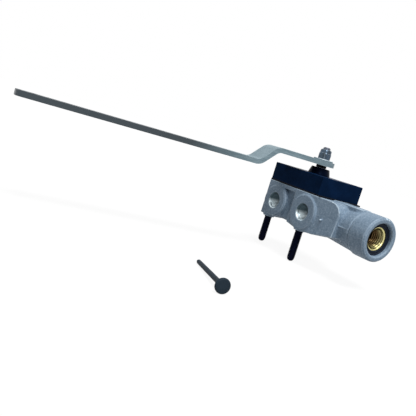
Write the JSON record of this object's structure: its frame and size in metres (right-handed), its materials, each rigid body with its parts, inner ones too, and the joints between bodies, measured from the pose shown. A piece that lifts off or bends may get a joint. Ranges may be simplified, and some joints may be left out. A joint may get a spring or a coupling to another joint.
{
  "type": "lever-operated levelling valve",
  "caption": "Levelling valve with a joggled lever on an upright shaft, a die-cast body with front ports, a collared side inlet, mounting studs and a loose locking pin.",
  "frame": {"origin": "midway between the two mounting studs, on the face of their pads that meets the bracket", "axes": "+Z along the lever's shaft, away from the bracket; +X along the housing to the inlet; -Y to the side of the two front ports"},
  "size_m": [0.1498, 0.2678, 0.0962],
  "materials": {
    "cast_aluminium": "die-cast, fine matt grain, machined on the port faces",
    "cover_black": "smooth, semi-gloss black",
    "hub_black": "satin black",
    "seal_black": "matt black rubber",
    "zinc_steel": "zinc-plated, satin",
    "zinc_blue": "blue-passivated zinc plate",
    "ground_steel": "ground steel",
    "black_steel": "black oxide",
    "brass": "turned brass",
    "bronze": "sintered bronze",
    "nylon": "dyed nylon",
    "pin_slate": "moulded, dark slate"
  },
  "bodies": {
    "housing": {"valve_body": "cast_aluminium", "bore_plug": "cast_aluminium", "mounting_stud_left": "black_steel", "mounting_stud_right": "black_steel", "exhaust_disc": "bronze", "cover_gasket": "seal_black", "cover_block": "cover_black", "cover_screws": "black_steel", "shaft_bush": "bronze", "shaft_seal": "seal_black", "shaft_hub": "hub_black", "inlet_fitting": "brass", "inlet_ring": "seal_black", "locking_pin": "pin_slate"},
    "lever": {"control_shaft": "ground_steel", "lever_spacer": "black_steel", "lever_arm": "zinc_steel", "lever_washer": "zinc_steel", "lever_nut": "zinc_blue", "nut_insert": "nylon"},
    "spool": {"control_spool": "ground_steel"}
  },
  "joints": [
    {"name": "lever_swing", "type": "hinge", "parent": "housing", "child": "lever", "pos_m": [0.002, 0.019, 0.0312], "axis": [0, 0, 1], "range_deg": [-30, 30]},
    {"name": "spool_slide", "type": "slide", "parent": "housing", "child": "spool", "axis": [1, 0, 0], "range_m": [-0.0016, 0.0016]}
  ],
  "couplings": [
    {"joint": "spool_slide", "follows": "lever_swing", "m_per_rad": 0.003}
  ]
}
